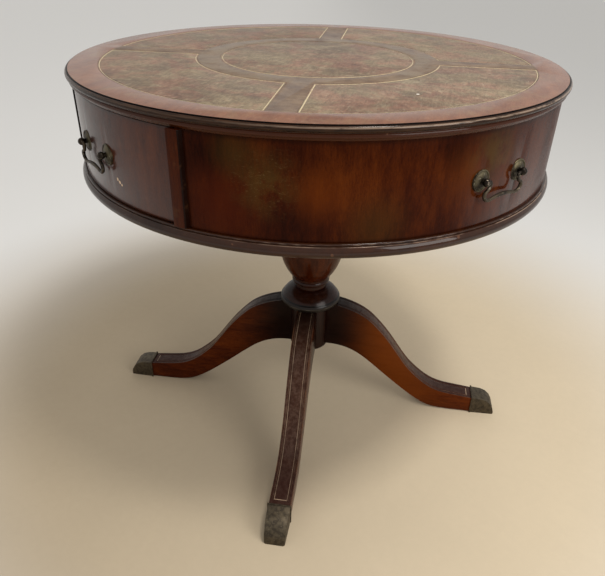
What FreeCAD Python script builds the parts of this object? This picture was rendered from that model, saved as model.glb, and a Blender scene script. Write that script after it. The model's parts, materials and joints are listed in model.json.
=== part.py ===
import FreeCAD, Part
import math
import os

# Round drum table on a turned pedestal with four sabre legs.
# Millimetres. The origin is on the floor under the middle of the table, +Z is up.
# Front is -Y and right is +X. Drawers open to the front and the rear, legs stand on the diagonals.

os.makedirs("parts", exist_ok=True)

# Overall sizes
table_height = 730.0
top_radius = 406.5
toe_radius = 419.0

# Top board and its moulded edge
top_thickness = 21.0
rim_flat_inset = 4.5
quirk_inset = 2.5
quirk_depth = 1.5
nose_depth = 8.0
groove_inset = 4.5
groove_width = 1.5
bead_inset = 3.5
bead_return = 1.5
bead_width = 6.0
cove_width = 1.6

# Leather panels let into the top board
leather_thickness = 1.4
leather_recess = 1.6
leather_edge_gap = 0.2
leather_margin = 49.5
leather_inner_share = 0.4957
leather_ring_width = 38.0
leather_half_band = 19.5
tooling_inset = 2.4
tooling_width = 1.2
tooling_depth = 0.3

# Drum: frieze of aprons and stiles between the top and the base moulding
frieze_height = 130.5
apron_setback = 9.0
apron_thickness = 18.5
stile_proud = 6.5
stile_width = 16.0
stile_lap = 5.0
opening_share = 0.4207

# Base moulding and floor of the drum
base_height = 19.5
base_setback = 1.5
base_fillet_inset = 5.5
base_bead_inset = 4.0
base_bead_height = 3.0
base_quirk_inset = 5.2
base_quirk_height = 1.0
base_torus_inset = 3.5
floor_thickness = 12.0
floor_ledge = 8.0
floor_gap = 0.1

# Drawers and what carries them
drawer_setback = 1.0
drawer_front_thickness = 18.0
drawer_front_gap = 1.0
drawer_edge_gap = 1.2
drawer_running_gap = 0.3
drawer_side_inset = 2.5
drawer_side_thickness = 10.0
drawer_side_drop = 0.5
drawer_back_thickness = 10.0
drawer_back_drop = 8.0
drawer_bottom_thickness = 5.0
drawer_bottom_rise = 5.2
drawer_groove_depth = 4.0
drawer_stop_gap = 0.5
guide_height = 24.0
kicker_height = 12.0
kicker_width = 36.0
divider_thickness = 18.0

# Bail pulls
pull_centres = 76.2
rosette_radius = 15.0
rosette_edge = 0.9
rosette_bead_width = 2.2
rosette_bead_height = 1.8
rosette_crown = 3.2
rosette_groove = 0.6
rosette_swell_radius = 8.6
rosette_swell_height = 2.7
post_reach = 9.5
post_collar_radius = 4.4
post_collar_height = 0.8
post_neck_radius = 3.5
post_head_radius = 5.5
post_shank_radius = 2.2
post_shank_end = 3.0
shank_clearance = 0.15
nut_radius = 5.5
nut_height = 3.5
nut_seat_radius = 7.0
nut_seat_depth = 1.0
nut_sides = 6
bail_rod_radius = 2.0
bail_pin_clearance = 0.08
bail_pin_length = 3.6
bail_shoulder_gap = 1.5
bail_knee = 0.5
bail_knee_drop = 6.0
bail_swell = 10.7
bail_swell_drop = 14.0
bail_lobe_spread = 54.0
bail_drop = 27.0
bail_rise = 5.5
bail_shoulder_bend = 3.0
bail_knee_bend = 3.5
bail_swell_bend = 5.0
bail_lobe_bend = 8.0
bail_middle_bend = 40.0

# Pedestal
mounting_radius = 115.0
mounting_thickness = 22.0
mounting_chamfer = 5.0
upper_tenon_radius = 15.0
upper_tenon_length = 18.0
lower_tenon_radius = 12.0
lower_tenon_depth = 58.0
tenon_clearance = 0.1
column_foot_radius = 33.0
column_neck_radius = 32.5
column_neck_height = 8.0
column_bead_radius = 38.5
column_bead_height = 13.0
column_fillet_radius = 39.5
column_fillet_height = 3.5
urn_low_radius = 50.5
urn_low_share = 0.072
urn_radius = 64.5
urn_share = 0.309
urn_shoulder_radius = 59.5
urn_shoulder_share = 0.439
shaft_waist_radius = 44.0
shaft_waist_share = 0.561
shaft_hollow_radius = 35.0
shaft_hollow_share = 0.657
shaft_top_radius = 31.0
shaft_top_share = 0.761
ring_root_radius = 33.0
ring_radius = 38.0
ring_middle_share = 0.789
ring_top_share = 0.817
capital_hollow_radius = 34.0
capital_hollow_share = 0.957
capital_radius = 46.0
capital_lip = 6.0

# Collar between the column and the hub
collar_height = 36.0
collar_top_radius = 33.5
collar_dome_radius = 49.5
collar_dome_height = 26.0
collar_edge_radius = 60.0
collar_edge_height = 14.5
collar_quirk = 1.2
collar_bead_radius = 62.0
collar_base_radius = 58.5

# Hub that the legs are dovetailed to
hub_radius = 41.0
hub_bottom = 138.0
hub_top = 248.0
hub_rounding = 7.0

# Sabre legs: heights and reach; the outline is in shares of reach and rise
leg_width = 39.0
leg_rise = 247.5
leg_root_bottom = 149.0
leg_line_inset = 4.0
leg_line_width = 1.4
leg_line_pitch = 3.2
leg_line_depth = 0.9
leg_line_end_gap = 9.0
dovetail_neck = 16.0
dovetail_tail = 22.0
dovetail_depth = 11.0
dovetail_head_gap = 12.0
dovetail_clearance = 0.1
leg_top_shares = [
    (0.060, 0.996), (0.120, 0.972), (0.182, 0.933), (0.235, 0.882), (0.290, 0.801), (0.340, 0.712),
    (0.385, 0.618), (0.430, 0.518), (0.480, 0.415), (0.535, 0.330), (0.600, 0.252), (0.670, 0.202),
    (0.745, 0.180), (0.810, 0.168),
]
leg_bottom_shares = [
    (0.810, 0.010), (0.760, 0.010), (0.690, 0.014), (0.620, 0.034), (0.560, 0.078), (0.495, 0.146),
    (0.430, 0.226), (0.365, 0.309), (0.305, 0.390), (0.245, 0.468), (0.190, 0.530), (0.130, 0.575),
    (0.070, 0.598),
]

# Brass toe caps
cap_length = 53.0
cap_height = 40.5
cap_rear_width = 41.0
cap_front_width = 37.5
cap_corner = 4.0
cap_wall = 1.6
cap_lip_length = 3.0
cap_lip_proud = 1.2
cap_tenon_clearance = 0.1
cap_top_shares = [(0.42, 0.955), (0.64, 0.850), (0.82, 0.640), (0.935, 0.360), (0.985, 0.130)]

# Wood screws
screw_radius = 2.0
screw_head_radius = 4.4
screw_head_height = 2.6
screw_clearance = 0.05
mounting_screw_count = 8
mounting_screw_circle = 92.0
mounting_screw_bite = 9.0
kicker_screw_count = 3
kicker_screw_bite = 10.0

# One overrun for every cutting tool
overrun = 2.0

# Levels and places that follow from the sizes above
apron_radius = top_radius - apron_setback
base_radius = top_radius - base_setback
drawer_radius = apron_radius - drawer_setback
opening_half_width = top_radius * opening_share
leather_outer_radius = top_radius - leather_margin
leather_inner_radius = top_radius * leather_inner_share
leather_disc_radius = leather_inner_radius - leather_ring_width
top_underside = table_height - top_thickness
base_top = top_underside - frieze_height
base_bottom = base_top - base_height
drum_floor_bottom = base_top - floor_thickness
apron_inner_radius = apron_radius - apron_thickness
stile_radius = apron_radius + stile_proud
stile_outer = opening_half_width + stile_width
stile_back = math.sqrt(apron_inner_radius ** 2 - stile_outer ** 2) - stile_lap
drawer_inner_radius = drawer_radius - drawer_front_thickness
drawer_side_outer = opening_half_width - drawer_side_inset
drawer_side_inner = drawer_side_outer - drawer_side_thickness
drawer_back_face = divider_thickness / 2 + drawer_stop_gap
drawer_floor = base_top + drawer_bottom_rise
drawer_side_top = top_underside - kicker_height - drawer_side_drop
mounting_bottom = drum_floor_bottom - mounting_thickness
collar_bottom = hub_top
collar_top = collar_bottom + collar_height
seat_distance = math.sqrt(hub_radius ** 2 - (leg_width / 2) ** 2)
cap_start = toe_radius - cap_length
pull_level = base_top + frieze_height / 2

origin = FreeCAD.Vector(0, 0, 0)
upward = FreeCAD.Vector(0, 0, 1)


def flat_face(outline):
    # Face in the XZ plane. A step of two values is a straight edge's end,
    # and a step of four is an arc's middle and end.
    first = FreeCAD.Vector(outline[0][0], 0, outline[0][1])
    here = first
    edges = []
    for step in outline[1:]:
        end = FreeCAD.Vector(step[-2], 0, step[-1])
        if len(step) == 4:
            middle = FreeCAD.Vector(step[0], 0, step[1])
            edges.append(Part.Arc(here, middle, end).toShape())
        else:
            edges.append(Part.LineSegment(here, end).toShape())
        here = end
    edges.append(Part.LineSegment(here, first).toShape())
    return Part.Face(Part.Wire(edges))


def turned(outline):
    # Solid turned about the vertical axis
    return flat_face(outline).revolve(origin, upward, 360)


def cylinder(radius, low, high):
    return Part.makeCylinder(radius, high - low, FreeCAD.Vector(0, 0, low))


def tube(inner, outer, low, high):
    return cylinder(outer, low, high).cut(cylinder(inner, low - overrun, high + overrun))


def block(x_low, x_high, y_low, y_high, z_low, z_high):
    corner = FreeCAD.Vector(x_low, y_low, z_low)
    return Part.makeBox(x_high - x_low, y_high - y_low, z_high - z_low, corner)


def spun(shape, angle):
    # Copy turned about the vertical axis
    copy = shape.copy()
    copy.rotate(origin, upward, angle)
    return copy


def lying(shape, x, out, level):
    # A piece modelled standing on Z is laid along -Y, with its foot at the given place
    copy = shape.copy()
    copy.rotate(origin, FreeCAD.Vector(1, 0, 0), 90)
    copy.translate(FreeCAD.Vector(x, -out, level))
    return copy


def save(name, shape):
    shape.exportStep("parts/" + name + ".step")


def screw(length):
    # Countersunk wood screw standing on its head at the origin
    shank_foot = screw_head_height
    return turned([
        (0, 0), (screw_head_radius, 0), (screw_radius, shank_foot), (screw_radius, length - screw_radius),
        (0, length),
    ])


def screw_hole(length):
    head = screw_head_radius + screw_clearance
    shank = screw_radius + screw_clearance
    return turned([
        (0, -overrun), (head, -overrun), (head, 0), (shank, screw_head_height), (shank, length),
        (0, length),
    ])


def mounting_screw_places():
    step = 360 / mounting_screw_count
    for index in range(mounting_screw_count):
        angle = math.radians((index + 0.5) * step)
        x = mounting_screw_circle * math.cos(angle)
        y = mounting_screw_circle * math.sin(angle)
        yield FreeCAD.Vector(x, y, mounting_bottom)


def kicker_screw_places():
    middle = stile_outer - kicker_width / 2
    for side in (-1, 1):
        for index in range(kicker_screw_count):
            share = (index + 0.5) / kicker_screw_count * 2 - 1
            yield FreeCAD.Vector(side * middle, share * stile_back, top_underside - kicker_height)


def placed(shape, places):
    copies = []
    for place in places:
        copy = shape.copy()
        copy.translate(place)
        copies.append(copy)
    return copies


def mounting_screw_length():
    return mounting_thickness + mounting_screw_bite


def kicker_screw_length():
    return kicker_height + kicker_screw_bite


def wood_screws():
    screws = placed(screw(mounting_screw_length()), mounting_screw_places())
    screws += placed(screw(kicker_screw_length()), kicker_screw_places())
    return Part.makeCompound(screws)


def quarter_leather(inset, low, high):
    # Front quarter between two diagonal bands, drawn in from its edges by the inset
    body = tube(leather_inner_radius + inset, leather_outer_radius - inset, low, high)
    half_band = leather_half_band + inset
    reach = leather_outer_radius + overrun
    for angle in (45, 135):
        band = block(-half_band, half_band, -reach, reach, low - overrun, high + overrun)
        body = body.cut(spun(band, angle))
    return min(body.Solids, key=lambda solid: solid.CenterOfMass.y)


def leather_level():
    return table_height - leather_recess


def leather_quarter_panel():
    low = leather_level()
    high = low + leather_thickness
    line_floor = high - tooling_depth
    body = quarter_leather(leather_edge_gap, low, high)
    line = quarter_leather(tooling_inset, line_floor, high + overrun)
    line = line.cut(quarter_leather(tooling_inset + tooling_width, line_floor, high + overrun))
    return body.cut(line)


def leather_centre_panel():
    low = leather_level()
    high = low + leather_thickness
    line_outer = leather_disc_radius - tooling_inset
    body = cylinder(leather_disc_radius - leather_edge_gap, low, high)
    return body.cut(tube(line_outer - tooling_width, line_outer, high - tooling_depth, high + overrun))


def top_board():
    rim = top_radius - rim_flat_inset
    quirk = top_radius - quirk_inset
    nose_top = table_height - quirk_depth
    nose_bottom = nose_top - nose_depth
    groove = top_radius - groove_inset
    bead_top = nose_bottom - groove_width
    bead_foot = top_radius - bead_inset - bead_return
    bead_bottom = bead_top - bead_width
    body = turned([
        (0, table_height), (rim, table_height), (rim, nose_top), (quirk, nose_top),
        (top_radius, nose_top - nose_depth / 2, quirk, nose_bottom),
        (groove, nose_bottom), (bead_foot, bead_top),
        (top_radius - bead_inset, bead_top - bead_width / 2, bead_foot, bead_bottom),
        (bead_foot - cove_width, bead_bottom),
        (apron_radius + cove_width, bead_bottom - cove_width, apron_radius, top_underside),
        (0, top_underside),
    ])
    low = leather_level()
    high = table_height + overrun
    body = body.cut(cylinder(leather_disc_radius, low, high))
    for angle in (0, 90, 180, 270):
        body = body.cut(spun(quarter_leather(0, low, high), angle))
    for hole in placed(screw_hole(kicker_screw_length()), kicker_screw_places()):
        body = body.cut(hole)
    return body


def base_moulding():
    fillet = base_radius - base_fillet_inset
    bead = base_radius - base_bead_inset
    quirk = base_radius - base_quirk_inset
    torus = base_radius - base_torus_inset
    bead_bottom = base_top - base_bead_height
    torus_top = bead_bottom - base_quirk_height
    return turned([
        (apron_inner_radius, base_top), (fillet, base_top),
        (bead, base_top - base_bead_height / 2, quirk, bead_bottom),
        (quirk, torus_top), (torus, torus_top),
        (base_radius, (torus_top + base_bottom) / 2, torus, base_bottom),
        (apron_inner_radius - floor_ledge, base_bottom),
        (apron_inner_radius - floor_ledge, drum_floor_bottom),
        (apron_inner_radius, drum_floor_bottom),
    ])


def drum_floor():
    body = cylinder(apron_inner_radius - floor_gap, drum_floor_bottom, base_top)
    for hole in placed(screw_hole(mounting_screw_length()), mounting_screw_places()):
        body = body.cut(hole)
    return body


def pull_places():
    return (-pull_centres / 2, pull_centres / 2)


def surface_out(radius, x):
    # Distance in front of the axis of a round surface at a sideways place
    return math.sqrt(radius ** 2 - x ** 2)


def pull_holes(outer, inner):
    # Holes for the posts through a bent front, with a flat seat for each nut
    tools = []
    for x in pull_places():
        nut_face = surface_out(inner, x) + nut_seat_depth
        hole = Part.makeCylinder(post_shank_radius + shank_clearance, outer - inner + nut_height + overrun)
        tools.append(lying(hole, x, inner - nut_height, pull_level))
        seat = Part.makeCylinder(nut_seat_radius, nut_height + nut_seat_depth + overrun)
        tools.append(lying(seat, x, nut_face - nut_height - nut_seat_depth - overrun, pull_level))
    return Part.makeCompound(tools)


def right_apron():
    # The wall between the front and rear stiles on the right, with holes for a pull
    wall = tube(apron_inner_radius, apron_radius, base_top, top_underside)
    for side in (-1, 1):
        y_limits = sorted((0, side * (apron_radius + overrun)))
        gap = block(
            -apron_radius - overrun, stile_outer, y_limits[0], y_limits[1], base_top - overrun,
            top_underside + overrun)
        wall = wall.cut(gap)
    return wall.cut(spun(pull_holes(apron_radius, apron_inner_radius), 90))


def stile():
    # Stile on the right of the front opening
    post = block(opening_half_width, stile_outer, -stile_radius, -stile_back, base_top, top_underside)
    return post.common(cylinder(stile_radius, base_top, top_underside))


def guide():
    inner = drawer_side_outer + drawer_running_gap
    return block(inner, stile_outer, -stile_back, stile_back, base_top, base_top + guide_height)


def kicker():
    low = top_underside - kicker_height
    body = block(stile_outer - kicker_width, stile_outer, -stile_back, stile_back, low, top_underside)
    for hole in placed(screw_hole(kicker_screw_length()), kicker_screw_places()):
        body = body.cut(hole)
    return body


def centre_divider():
    reach = drawer_side_outer + drawer_running_gap
    half = divider_thickness / 2
    return block(-reach, reach, -half, half, base_top, top_underside - kicker_height)


def mirrored_across_middle(shape):
    return shape.mirror(origin, FreeCAD.Vector(1, 0, 0))


def drawer_front():
    low = base_top + drawer_edge_gap
    high = top_underside - drawer_edge_gap
    half = opening_half_width - drawer_front_gap
    wall = tube(drawer_inner_radius, drawer_radius, low, high)
    keep = block(-half, half, -drawer_radius, 0, low, high)
    return wall.common(keep).cut(pull_holes(drawer_radius, drawer_inner_radius))


def drawer_side():
    low = base_top + drawer_running_gap
    body = block(
        drawer_side_inner, drawer_side_outer, -drawer_inner_radius, -drawer_back_face, low, drawer_side_top)
    body = body.common(cylinder(drawer_inner_radius, low, drawer_side_top))
    groove_limit = drawer_side_inner + drawer_groove_depth
    groove = block(
        drawer_side_inner - overrun, groove_limit, -drawer_inner_radius, overrun, drawer_floor,
        drawer_floor + drawer_bottom_thickness)
    return body.cut(groove)


def drawer_bottom():
    reach = drawer_side_inner + drawer_groove_depth
    high = drawer_floor + drawer_bottom_thickness
    body = block(-reach, reach, -drawer_inner_radius, -drawer_back_face, drawer_floor, high)
    return body.common(cylinder(drawer_inner_radius, drawer_floor, high))


def drawer_back():
    low = drawer_floor + drawer_bottom_thickness
    rear = -drawer_back_face
    return block(
        -drawer_side_inner, drawer_side_inner, rear - drawer_back_thickness, rear, low,
        drawer_side_top - drawer_back_drop)


def rosette():
    # Domed round plate with a beaded rim standing on Z, its back sunk below zero for trimming to the front
    bead_inner = rosette_radius - rosette_bead_width
    bead_middle = rosette_radius - rosette_bead_width / 2
    return turned([
        (0, -rosette_crown), (rosette_radius, -rosette_crown), (rosette_radius, rosette_edge),
        (bead_middle, rosette_bead_height, bead_inner, rosette_edge),
        (bead_inner - rosette_groove, rosette_edge),
        (rosette_swell_radius, rosette_swell_height, post_collar_radius, rosette_crown), (0, rosette_crown),
    ])


def post(grip):
    # Ball-headed post standing on Z, with its threaded shank below zero
    collar_top_level = rosette_crown + post_collar_height
    neck_join = post_reach - math.sqrt(post_head_radius ** 2 - post_neck_radius ** 2)
    body = turned([
        (0, -grip), (post_shank_radius, -grip), (post_shank_radius, rosette_crown),
        (post_collar_radius, rosette_crown), (post_collar_radius, collar_top_level - post_collar_height / 2),
        (post_neck_radius, collar_top_level), (post_neck_radius, neck_join),
        (post_head_radius, post_reach, 0, post_reach + post_head_radius),
    ])
    half_hole = post_head_radius + overrun
    hole_start = FreeCAD.Vector(-half_hole, 0, post_reach)
    hole_radius = bail_rod_radius + bail_pin_clearance
    return body.cut(Part.makeCylinder(hole_radius, 2 * half_hole, hole_start, FreeCAD.Vector(1, 0, 0)))


def pull_rosettes(radius):
    plates = []
    for x in pull_places():
        plate = lying(rosette(), x, surface_out(radius, x), pull_level)
        plate = plate.cut(cylinder(radius, base_top, top_underside))
        bore = Part.makeCylinder(post_shank_radius, 2 * rosette_crown + 2 * overrun)
        plate = plate.cut(lying(bore, x, surface_out(radius, x) - rosette_crown - overrun, pull_level))
        plates.append(plate)
    return Part.makeCompound(plates)


def pull_posts(radius, inner):
    posts = []
    for x in pull_places():
        nut_face = surface_out(inner, x) + nut_seat_depth
        grip = surface_out(radius, x) - nut_face + nut_height + post_shank_end
        posts.append(lying(post(grip), x, surface_out(radius, x), pull_level))
    return Part.makeCompound(posts)


def pull_nuts(inner):
    corners = []
    for index in range(nut_sides + 1):
        angle = math.radians(index * 360 / nut_sides)
        corners.append(FreeCAD.Vector(nut_radius * math.cos(angle), nut_radius * math.sin(angle), 0))
    nut = Part.Face(Part.makePolygon(corners)).extrude(FreeCAD.Vector(0, 0, nut_height))
    nut = nut.cut(Part.makeCylinder(post_shank_radius, nut_height))
    nuts = []
    for x in pull_places():
        nut_face = surface_out(inner, x) + nut_seat_depth
        nuts.append(lying(nut, x, nut_face - nut_height, pull_level))
    return Part.makeCompound(nuts)


def rounded_path(points, bends):
    # Wire through the points with a tangent arc of the given radius at each inner point
    edges = []
    here = points[0]
    for index, bend in enumerate(bends):
        corner = points[index + 1]
        back = (here - corner).normalize()
        ahead = (points[index + 2] - corner).normalize()
        half_turn = back.getAngle(ahead) / 2
        leg = bend / math.tan(half_turn)
        start = corner + back * leg
        end = corner + ahead * leg
        toward = (back + ahead).normalize()
        middle = corner + toward * (bend / math.sin(half_turn) - bend)
        edges.append(Part.LineSegment(here, start).toShape())
        edges.append(Part.Arc(start, middle, end).toShape())
        here = end
    edges.append(Part.LineSegment(here, points[-1]).toShape())
    return Part.Wire(edges)


def bail(radius):
    # Swan-neck bail hanging from the posts, its ends turned outwards into their heads
    pin_end = pull_centres / 2 + bail_pin_length
    shoulder = pull_centres / 2 - post_head_radius - bail_shoulder_gap - bail_rod_radius
    knee = shoulder - bail_knee
    swell = shoulder + bail_swell
    half = [
        (pin_end, 0), (shoulder, 0), (knee, -bail_knee_drop), (swell, -bail_swell_drop),
        (bail_lobe_spread / 2, -bail_drop),
    ]
    middle = [(0, bail_rise - bail_drop)]
    other = [(-x, z) for x, z in reversed(half)]
    out = surface_out(radius, pull_centres / 2) + post_reach
    points = [FreeCAD.Vector(x, -out, pull_level + z) for x, z in half + middle + other]
    bends = [bail_shoulder_bend, bail_knee_bend, bail_swell_bend, bail_lobe_bend]
    bends = bends + [bail_middle_bend] + bends[::-1]
    path = rounded_path(points, bends)
    ring = Part.Wire(Part.makeCircle(bail_rod_radius, points[0], FreeCAD.Vector(1, 0, 0)))
    return path.makePipeShell([ring], True, False)


def mounting_board():
    edge = mounting_radius - mounting_chamfer
    body = turned([
        (0, mounting_bottom), (edge, mounting_bottom), (mounting_radius, mounting_bottom + mounting_chamfer),
        (mounting_radius, drum_floor_bottom), (0, drum_floor_bottom),
    ])
    bore_end = mounting_bottom + upper_tenon_length + tenon_clearance
    body = body.cut(cylinder(upper_tenon_radius + tenon_clearance, mounting_bottom - overrun, bore_end))
    for hole in placed(screw_hole(mounting_screw_length()), mounting_screw_places()):
        body = body.cut(hole)
    return body


def column():
    # Turned column from its lower tenon up: neck, bead, urn, slender shaft, ring and capital
    neck_top = collar_top + column_neck_height
    bead_top = neck_top + column_bead_height
    urn_foot = bead_top + column_fillet_height
    capital_foot = mounting_bottom - capital_lip
    room = capital_foot - urn_foot
    return turned([
        (0, hub_top - lower_tenon_depth), (lower_tenon_radius, hub_top - lower_tenon_depth),
        (lower_tenon_radius, collar_top), (column_foot_radius, collar_top),
        (column_neck_radius, neck_top),
        (column_bead_radius, neck_top + column_bead_height / 2, column_neck_radius, bead_top),
        (column_fillet_radius, bead_top), (column_fillet_radius, urn_foot),
        (urn_low_radius, urn_foot + room * urn_low_share, urn_radius, urn_foot + room * urn_share),
        (urn_shoulder_radius, urn_foot + room * urn_shoulder_share,
         shaft_waist_radius, urn_foot + room * shaft_waist_share),
        (shaft_hollow_radius, urn_foot + room * shaft_hollow_share,
         shaft_top_radius, urn_foot + room * shaft_top_share),
        (ring_root_radius, urn_foot + room * shaft_top_share),
        (ring_radius, urn_foot + room * ring_middle_share,
         ring_root_radius, urn_foot + room * ring_top_share),
        (shaft_top_radius, urn_foot + room * ring_top_share),
        (capital_hollow_radius, urn_foot + room * capital_hollow_share, capital_radius, capital_foot),
        (capital_radius, mounting_bottom), (upper_tenon_radius, mounting_bottom),
        (upper_tenon_radius, mounting_bottom + upper_tenon_length),
        (0, mounting_bottom + upper_tenon_length),
    ])


def collar():
    bore = lower_tenon_radius + tenon_clearance
    edge_level = collar_bottom + collar_edge_height
    bead_level = collar_bottom + collar_edge_height / 2
    return turned([
        (bore, collar_bottom), (collar_base_radius, collar_bottom),
        (collar_bead_radius, bead_level, collar_edge_radius, edge_level - collar_quirk),
        (collar_edge_radius - collar_quirk, edge_level),
        (collar_dome_radius, collar_bottom + collar_dome_height, collar_top_radius, collar_top),
        (bore, collar_top),
    ])


def dovetail(clearance, low, high):
    # Tongue on the leg's root, widest at its tail inside the hub
    neck = dovetail_neck / 2 + clearance
    tail = dovetail_tail / 2 + clearance
    inner = seat_distance - dovetail_depth - clearance
    outline = [(seat_distance, -neck), (inner, -tail), (inner, tail), (seat_distance, neck)]
    corners = [FreeCAD.Vector(x, y, low) for x, y in outline + outline[:1]]
    return Part.Face(Part.makePolygon(corners)).extrude(FreeCAD.Vector(0, 0, high - low))


def hub():
    body = turned([
        (0, hub_bottom), (hub_radius - hub_rounding, hub_bottom),
        (hub_radius - hub_rounding * (1 - math.sqrt(0.5)), hub_bottom + hub_rounding * (1 - math.sqrt(0.5)),
         hub_radius, hub_bottom + hub_rounding),
        (hub_radius, hub_top), (0, hub_top),
    ])
    bore = lower_tenon_radius + tenon_clearance
    body = body.cut(cylinder(bore, hub_top - lower_tenon_depth - tenon_clearance, hub_top + overrun))
    half = leg_width / 2
    flat = block(seat_distance, hub_radius + overrun, -half, half, leg_root_bottom, hub_top + overrun)
    slot_top = leg_rise - dovetail_head_gap + dovetail_clearance
    slot = dovetail(dovetail_clearance, hub_bottom - overrun, slot_top)
    for angle in (-45, 45, 135, 225):
        body = body.cut(spun(flat.fuse(slot), angle))
    return body


def leg_point(share):
    reach = toe_radius - seat_distance
    return FreeCAD.Vector(seat_distance + reach * share[0], 0, leg_rise * share[1])


def leg_profile():
    # Side outline of the leg from its root on the hub to the toe cap
    root_top = FreeCAD.Vector(seat_distance, 0, leg_rise)
    root_bottom = FreeCAD.Vector(seat_distance, 0, leg_root_bottom)
    cap_top = FreeCAD.Vector(cap_start, 0, cap_height - cap_wall)
    cap_foot = FreeCAD.Vector(cap_start, 0, cap_wall)
    upper = Part.BSplineCurve()
    upper.interpolate([root_top] + [leg_point(share) for share in leg_top_shares] + [cap_top])
    lower = Part.BSplineCurve()
    lower.interpolate([cap_foot] + [leg_point(share) for share in leg_bottom_shares] + [root_bottom])
    toe_end = Part.LineSegment(cap_top, cap_foot).toShape()
    root_end = Part.LineSegment(root_bottom, root_top).toShape()
    return Part.Face(Part.Wire([upper.toShape(), toe_end, lower.toShape(), root_end]))


def slab(face, y_low, y_high):
    # Flat XZ face thickened between two Y places
    copy = face.copy()
    copy.translate(FreeCAD.Vector(0, y_low, 0))
    return copy.extrude(FreeCAD.Vector(0, y_high - y_low, 0))


def cap_outline(wall):
    # Side outline of the toe cap, or of the space inside it when a wall is given
    start = cap_start
    length = cap_length - wall
    height = cap_height - wall
    outline = [(start, wall), (start, height)]
    for along, up in cap_top_shares:
        outline.append((start + length * along, max(height * up, wall)))
    outline.append((start + length, wall))
    return outline


def toe_tenon(clearance):
    # The leg's end inside the cap
    face = flat_face(cap_outline(cap_wall - clearance))
    half = cap_front_width / 2 - cap_wall + clearance
    return slab(face, -half, half)


def leg():
    # Sabre leg pointing along +X
    profile = leg_profile()
    half = leg_width / 2
    body = slab(profile, -half, half)
    keep = block(seat_distance, cap_start - leg_line_end_gap, -half, half, 0, leg_rise)
    sunk = profile.copy()
    sunk.translate(FreeCAD.Vector(0, 0, -leg_line_depth))
    for side in (-1, 1):
        for inset in (leg_line_inset, leg_line_inset + leg_line_pitch):
            outer = side * (half - inset)
            inner = outer - side * leg_line_width
            low = min(outer, inner)
            high = max(outer, inner)
            body = body.cut(slab(profile, low, high).cut(slab(sunk, low, high)).common(keep))
    tongue = dovetail(0, leg_root_bottom, leg_rise - dovetail_head_gap)
    return body.fuse([tongue, toe_tenon(0)]).removeSplitter()


def toe_cap():
    side_view = slab(flat_face(cap_outline(0)), -cap_rear_width / 2, cap_rear_width / 2)
    rear = cap_rear_width / 2
    front = cap_front_width / 2
    corner = front - cap_corner
    bulge = cap_corner * math.sqrt(0.5)
    nose = toe_radius - cap_corner
    plan = flat_face([
        (cap_start, -rear), (nose, -front), (nose + bulge, -corner - bulge, toe_radius, -corner),
        (toe_radius, corner), (nose + bulge, corner + bulge, nose, front), (cap_start, rear),
    ])
    plan.rotate(origin, FreeCAD.Vector(1, 0, 0), 90)
    plan = plan.extrude(FreeCAD.Vector(0, 0, cap_height))
    lip_half = rear + cap_lip_proud
    lip = block(cap_start, cap_start + cap_lip_length, -lip_half, lip_half, 0, cap_height + cap_lip_proud)
    return side_view.common(plan).fuse(lip).removeSplitter().cut(toe_tenon(cap_tenon_clearance))


sides = {"front": 0, "right": 90, "rear": 180, "left": 270}
corners = {"front_right": -45, "rear_right": 45, "rear_left": 135, "front_left": 225}

save("top_board", top_board())
save("leather_centre", leather_centre_panel())
for name, angle in sides.items():
    save("leather_" + name, spun(leather_quarter_panel(), angle))

save("base_moulding", base_moulding())
save("drum_floor", drum_floor())
save("apron_right", right_apron())
save("apron_left", spun(right_apron(), 180))
save("stile_front_right", stile())
save("stile_front_left", mirrored_across_middle(stile()))
save("stile_rear_left", spun(stile(), 180))
save("stile_rear_right", spun(mirrored_across_middle(stile()), 180))
save("drawer_guide_right", guide())
save("drawer_guide_left", spun(guide(), 180))
save("kicker_rail_right", kicker())
save("kicker_rail_left", spun(kicker(), 180))
save("centre_divider", centre_divider())

for name in ("front", "rear"):
    angle = sides[name]
    save(name + "_drawer_front", spun(drawer_front(), angle))
    save(name + "_drawer_side_right", spun(drawer_side(), angle))
    save(name + "_drawer_side_left", spun(mirrored_across_middle(drawer_side()), angle))
    save(name + "_drawer_back", spun(drawer_back(), angle))
    save(name + "_drawer_bottom", spun(drawer_bottom(), angle))

for name, angle in sides.items():
    on_drawer = name in ("front", "rear")
    outer = drawer_radius if on_drawer else apron_radius
    inner = drawer_inner_radius if on_drawer else apron_inner_radius
    save(name + "_pull_rosettes", spun(pull_rosettes(outer), angle))
    save(name + "_pull_posts", spun(pull_posts(outer, inner), angle))
    save(name + "_pull_nuts", spun(pull_nuts(inner), angle))
    save(name + "_pull_bail", spun(bail(outer), angle))

save("mounting_board", mounting_board())
save("wood_screws", wood_screws())
save("column", column())
save("collar", collar())
save("hub", hub())
for name, angle in corners.items():
    save("leg_" + name, spun(leg(), angle))
    save("toe_cap_" + name, spun(toe_cap(), angle))
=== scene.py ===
import json
import math
import bpy
from mathutils import Matrix, Vector


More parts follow.
